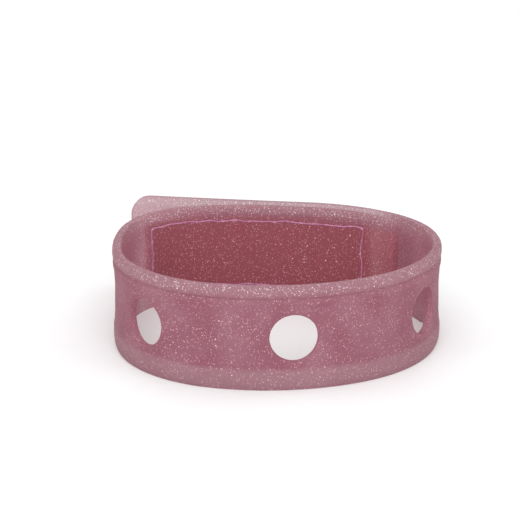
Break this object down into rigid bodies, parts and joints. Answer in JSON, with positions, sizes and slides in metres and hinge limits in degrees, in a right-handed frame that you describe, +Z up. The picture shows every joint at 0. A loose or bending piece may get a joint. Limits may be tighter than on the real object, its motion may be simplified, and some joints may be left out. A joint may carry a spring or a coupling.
{
  "type": "charm wristband",
  "caption": "Soft translucent glitter wristband with round charm holes and a sewn hook-and-loop overlap closure.",
  "frame": {"origin": "centre of the closed band's bounding box, on the surface it stands on", "axes": "+Z up along the band's width; -Y towards the front, where the middle charm hole faces; +X to the right seen from the front"},
  "size_m": [0.0644, 0.0624, 0.02],
  "materials": {
    "silicone": "translucent milky rose with fine glitter, satin",
    "hook_tape": "woven tape with short stiff hooks",
    "loop_tape": "woven tape with soft loop pile",
    "thread": "twisted polyester sewing thread with a soft sheen"
  },
  "bodies": {
    "front": {"strap_front": "silicone"},
    "right_front": {"strap_right_front": "silicone"},
    "right_back": {"strap_right_back": "silicone"},
    "closing_tab": {"strap_closing_tab": "silicone", "hook_tape": "hook_tape", "tab_seam_needle_thread": "thread", "tab_seam_bobbin_thread": "thread"},
    "left_front": {"strap_left_front": "silicone"},
    "left_back": {"strap_left_back": "silicone"},
    "inner_end": {"strap_inner_end": "silicone", "loop_tape": "loop_tape", "inner_seam_needle_thread": "thread", "inner_seam_bobbin_thread": "thread"}
  },
  "joints": [
    {"name": "unroll", "type": "hinge", "parent": "front", "child": "right_front", "pos_m": [0.01701, -0.02613, 0.01], "axis": [0, 0, -1], "range_deg": [0, 50]},
    {"name": "unroll_right_back", "type": "hinge", "parent": "right_front", "child": "right_back", "pos_m": [0.03213, -0.00178, 0.01], "axis": [0, 0, -1], "range_deg": [0, 50]},
    {"name": "unroll_left_front", "type": "hinge", "parent": "front", "child": "left_front", "pos_m": [-0.01171, -0.03001, 0.01], "axis": [0, 0, 1], "range_deg": [0, 40]},
    {"name": "unroll_left_back", "type": "hinge", "parent": "left_front", "child": "left_back", "pos_m": [-0.0313, -0.0094, 0.01], "axis": [0, 0, 1], "range_deg": [0, 40]},
    {"name": "uncurl_inner_end", "type": "hinge", "parent": "left_back", "child": "inner_end", "pos_m": [-0.03091, 0.00937, 0.01], "axis": [0, 0, 1], "range_deg": [0, 20]},
    {"name": "peel_tab", "type": "hinge", "parent": "right_back", "child": "closing_tab", "pos_m": [0.02598, 0.0159, 0.01], "axis": [0, 0, -1], "range_deg": [0, 70]}
  ],
  "couplings": [
    {"joint": "unroll_right_back", "follows": "unroll", "ratio": 1},
    {"joint": "unroll_left_front", "follows": "unroll", "ratio": 0.8},
    {"joint": "unroll_left_back", "follows": "unroll", "ratio": 0.8},
    {"joint": "uncurl_inner_end", "follows": "unroll", "ratio": 0.4}
  ]
}
